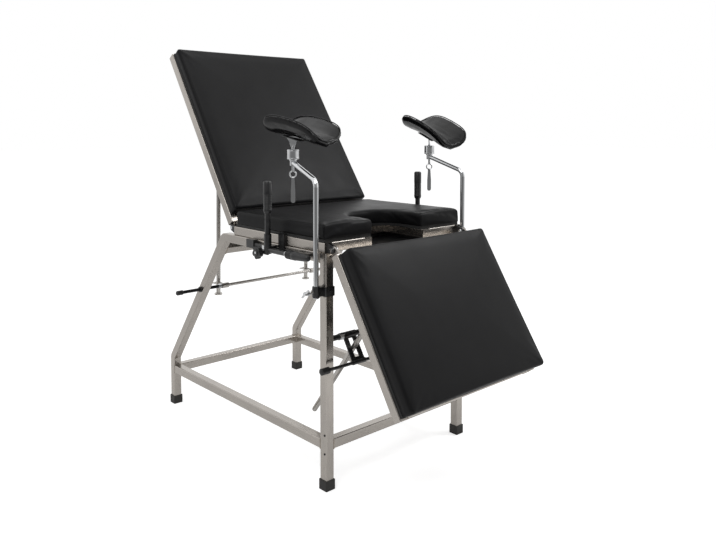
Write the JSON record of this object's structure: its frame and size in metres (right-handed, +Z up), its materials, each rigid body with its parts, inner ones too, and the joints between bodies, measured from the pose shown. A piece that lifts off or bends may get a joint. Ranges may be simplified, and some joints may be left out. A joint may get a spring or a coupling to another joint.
{
  "type": "gynaecological examination chair",
  "caption": "Examination chair with a hinged backrest, cut-out seat, drop leg section, padded knee rests on bent posts, side grips and a square-tube base.",
  "frame": {"origin": "middle of the bounding box on the floor", "axes": "X across the chair, +Y towards the head end, Z up, longest extent"},
  "size_m": [0.828, 1.3132, 1.3897],
  "materials": {
    "steel": "polished stainless tube",
    "strut_steel": "ground round bar",
    "chrome": "bright plated",
    "dark_metal": "black enamel",
    "vinyl": "glossy black upholstery vinyl",
    "board": "black covered plywood",
    "cap_rubber": "moulded, matt",
    "black_plastic": "moulded, satin black"
  },
  "bodies": {
    "base": {"front_leg_left": "steel", "front_leg_right": "steel", "rear_leg_left": "steel", "rear_leg_right": "steel", "low_side_rails": "steel", "low_cross_rails": "steel", "rear_cross_rail": "steel", "foot_caps": "cap_rubber", "seat_frame": "steel", "seat_board": "board", "seat_pad": "vinyl", "cutout_tray": "dark_metal", "lock_cross_tube": "dark_metal", "back_hinge_brackets": "dark_metal", "leg_hinge_brackets": "dark_metal", "hinge_pins": "chrome", "clamp_bands": "chrome", "grip_rails": "dark_metal", "rod_bushes": "black_plastic", "lock_springs": "chrome"},
    "backrest": {"back_frame": "steel", "back_board": "board", "back_pad": "vinyl"},
    "back_struts": {"back_strut_left": "strut_steel", "back_strut_right": "strut_steel"},
    "leg_section": {"leg_frame": "steel", "leg_board": "board", "leg_pad": "vinyl"},
    "leg_struts": {"leg_strut_left": "strut_steel", "leg_strut_right": "strut_steel"},
    "back_release": {"back_release_rod": "chrome", "back_lock_plates": "steel", "back_rod_caps": "black_plastic"},
    "leg_release": {"leg_release_rod": "dark_metal", "leg_lock_plates": "dark_metal", "leg_rod_caps": "black_plastic"},
    "post_collar_left": {"post_collar_left": "chrome"},
    "knee_post_left": {"knee_post_left": "chrome"},
    "hub_bush_left": {"hub_bush_left": "black_plastic"},
    "knee_rest_left": {"knee_neck_left": "chrome", "knee_pad_left": "vinyl"},
    "lock_handle_left": {"lock_handle_left": "chrome"},
    "clamp_screw_left": {"clamp_screw_left": "chrome"},
    "grip_socket_left": {"grip_socket_left": "dark_metal"},
    "grip_knob_left": {"grip_knob_left": "black_plastic"},
    "grip_lever_left": {"grip_lever_left": "black_plastic"},
    "grip_post_left": {"grip_post_left": "dark_metal", "grip_sleeve_left": "black_plastic"},
    "post_collar_right": {"post_collar_right": "chrome"},
    "knee_post_right": {"knee_post_right": "chrome"},
    "hub_bush_right": {"hub_bush_right": "black_plastic"},
    "knee_rest_right": {"knee_neck_right": "chrome", "knee_pad_right": "vinyl"},
    "lock_handle_right": {"lock_handle_right": "chrome"},
    "clamp_screw_right": {"clamp_screw_right": "chrome"},
    "grip_socket_right": {"grip_socket_right": "dark_metal"},
    "grip_knob_right": {"grip_knob_right": "black_plastic"},
    "grip_lever_right": {"grip_lever_right": "black_plastic"},
    "grip_post_right": {"grip_post_right": "dark_metal", "grip_sleeve_right": "black_plastic"}
  },
  "joints": [
    {"name": "back_tilt", "type": "hinge", "parent": "base", "child": "backrest", "pos_m": [0, 0.21756, 0.74], "axis": [1, 0, 0], "range_deg": [-55.7, 3]},
    {"name": "back_strut_swing", "type": "hinge", "parent": "backrest", "child": "back_struts", "pos_m": [0, 0.44822, 1.04265], "axis": [1, 0, 0], "range_deg": [-2.5, 25.5]},
    {"name": "leg_tilt", "type": "hinge", "parent": "base", "child": "leg_section", "pos_m": [0, -0.32044, 0.729], "axis": [-1, 0, 0], "range_deg": [-6, 57.9]},
    {"name": "leg_strut_swing", "type": "hinge", "parent": "leg_section", "child": "leg_struts", "pos_m": [0, -0.41529, 0.54768], "axis": [-1, 0, 0], "range_deg": [-59.5, 7]},
    {"name": "back_release_turn", "type": "hinge", "parent": "base", "child": "back_release", "pos_m": [0, 0.41349, 0.491], "axis": [1, 0, 0], "range_deg": [0, 8], "stiffness_Nm_per_rad": 1.5, "springref_deg": -17.19},
    {"name": "leg_release_swing", "type": "hinge", "parent": "base", "child": "leg_release", "pos_m": [0, -0.29544, 0.455], "axis": [-1, 0, 0], "range_deg": [0, 10], "stiffness_Nm_per_rad": 1.5, "springref_deg": -17.19},
    {"name": "knee_post_turn_left", "type": "hinge", "parent": "base", "child": "post_collar_left", "pos_m": [-0.334, -0.28744, 0.604], "axis": [0, 0, 1], "range_deg": [-40, 55]},
    {"name": "knee_post_slide_left", "type": "slide", "parent": "post_collar_left", "child": "knee_post_left", "axis": [0, 0, 1], "range_m": [-0.04, 0]},
    {"name": "knee_hub_turn_left", "type": "hinge", "parent": "knee_post_left", "child": "hub_bush_left", "pos_m": [-0.312, -0.14844, 1.01], "axis": [0, 0, 1], "range_deg": [-40, 40]},
    {"name": "knee_rest_tip_left", "type": "hinge", "parent": "hub_bush_left", "child": "knee_rest_left", "pos_m": [-0.312, -0.14844, 1.01], "axis": [1, 0, 0], "range_deg": [-20, 12]},
    {"name": "lock_handle_turn_left", "type": "hinge", "parent": "knee_post_left", "child": "lock_handle_left", "pos_m": [-0.312, -0.14844, 0.96], "axis": [0, 0, 1], "range_deg": [0, 180]},
    {"name": "clamp_screw_turn_left", "type": "hinge", "parent": "base", "child": "clamp_screw_left", "pos_m": [-0.36, -0.28744, 0.604], "axis": [-1, 0, 0], "range_deg": [0, 180]},
    {"name": "grip_slide_left", "type": "slide", "parent": "base", "child": "grip_socket_left", "axis": [0, 1, 0], "range_m": [-0.005, 0.05]},
    {"name": "grip_knob_turn_left", "type": "hinge", "parent": "grip_socket_left", "child": "grip_knob_left", "pos_m": [-0.36, -0.03444, 0.693], "axis": [-1, 0, 0], "range_deg": [0, 180]},
    {"name": "grip_lever_turn_left", "type": "hinge", "parent": "grip_socket_left", "child": "grip_lever_left", "pos_m": [-0.346, -0.17844, 0.702], "axis": [0, -1, 0], "range_deg": [0, 180]},
    {"name": "grip_height_left", "type": "slide", "parent": "grip_socket_left", "child": "grip_post_left", "axis": [0, 0, 1], "range_m": [0, 0.03]},
    {"name": "knee_post_turn_right", "type": "hinge", "parent": "base", "child": "post_collar_right", "pos_m": [0.334, -0.28744, 0.604], "axis": [0, 0, 1], "range_deg": [-55, 40]},
    {"name": "knee_post_slide_right", "type": "slide", "parent": "post_collar_right", "child": "knee_post_right", "axis": [0, 0, 1], "range_m": [-0.04, 0]},
    {"name": "knee_hub_turn_right", "type": "hinge", "parent": "knee_post_right", "child": "hub_bush_right", "pos_m": [0.312, -0.14844, 1.01], "axis": [0, 0, 1], "range_deg": [-40, 40]},
    {"name": "knee_rest_tip_right", "type": "hinge", "parent": "hub_bush_right", "child": "knee_rest_right", "pos_m": [0.312, -0.14844, 1.01], "axis": [1, 0, 0], "range_deg": [-20, 12]},
    {"name": "lock_handle_turn_right", "type": "hinge", "parent": "knee_post_right", "child": "lock_handle_right", "pos_m": [0.312, -0.14844, 0.96], "axis": [0, 0, 1], "range_deg": [0, 180]},
    {"name": "clamp_screw_turn_right", "type": "hinge", "parent": "base", "child": "clamp_screw_right", "pos_m": [0.36, -0.28744, 0.604], "axis": [1, 0, 0], "range_deg": [0, 180]},
    {"name": "grip_slide_right", "type": "slide", "parent": "base", "child": "grip_socket_right", "axis": [0, 1, 0], "range_m": [-0.005, 0.05]},
    {"name": "grip_knob_turn_right", "type": "hinge", "parent": "grip_socket_right", "child": "grip_knob_right", "pos_m": [0.36, -0.03444, 0.693], "axis": [1, 0, 0], "range_deg": [0, 180]},
    {"name": "grip_lever_turn_right", "type": "hinge", "parent": "grip_socket_right", "child": "grip_lever_right", "pos_m": [0.346, -0.17844, 0.702], "axis": [0, -1, 0], "range_deg": [0, 180]},
    {"name": "grip_height_right", "type": "slide", "parent": "grip_socket_right", "child": "grip_post_right", "axis": [0, 0, 1], "range_m": [0, 0.03]}
  ],
  "couplings": [
    {"joint": "back_strut_swing", "follows": "back_tilt", "ratio": -0.433},
    {"joint": "leg_strut_swing", "follows": "leg_tilt", "ratio": -1.01}
  ]
}
